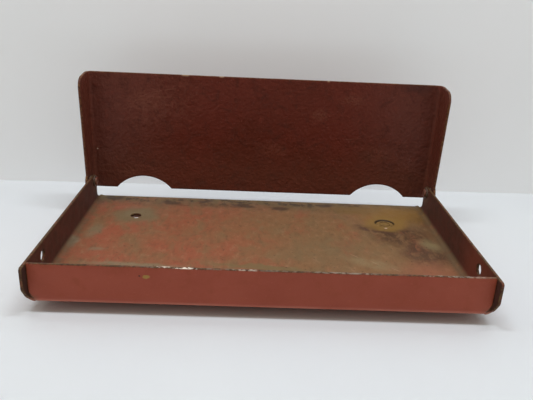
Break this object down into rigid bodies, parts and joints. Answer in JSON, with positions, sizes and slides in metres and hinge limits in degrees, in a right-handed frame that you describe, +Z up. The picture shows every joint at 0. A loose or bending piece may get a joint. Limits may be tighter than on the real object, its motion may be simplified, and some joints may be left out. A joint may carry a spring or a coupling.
{
  "type": "drip tray with pivoting splash guard",
  "caption": "Shallow folded-steel drip tray on four weld nuts, open at the rear, with an upright splash guard that pivots on rivets at the rear corners.",
  "frame": {"origin": "on the resting surface, under the middle of the outline", "axes": "+X to the right along the front wall, +Y back towards the splash guard, +Z up"},
  "size_m": [0.369, 0.225, 0.1453],
  "materials": {
    "tray_paint": "worn red-brown primer paint, satin, faded and oil stained on the floor",
    "guard_paint": "dark red-brown paint with a fine orange-peel surface, satin",
    "rivet_metal": "steel rivets painted over, rubbed on the crown",
    "washer_metal": "dull steel with brown surface rust",
    "nut_metal": "steel weld nuts, partly painted over, with brown surface rust"
  },
  "bodies": {
    "tray": {"tray_pan": "tray_paint", "pivot_rivet_left": "rivet_metal", "pivot_rivet_right": "rivet_metal", "spacer_washer_left": "washer_metal", "spacer_washer_right": "washer_metal", "inner_washer_left": "washer_metal", "inner_washer_right": "washer_metal", "weld_nut_front_left": "nut_metal", "weld_nut_front_right": "nut_metal", "weld_nut_rear_left": "nut_metal", "weld_nut_rear_right": "nut_metal", "floor_screw": "nut_metal"},
    "guard": {"splash_guard": "guard_paint"}
  },
  "joints": [
    {"name": "guard_tilt", "type": "hinge", "parent": "tray", "child": "guard", "pos_m": [0, 0.0915, 0.0343], "axis": [1, 0, 0], "range_deg": [-25, 95]}
  ]
}
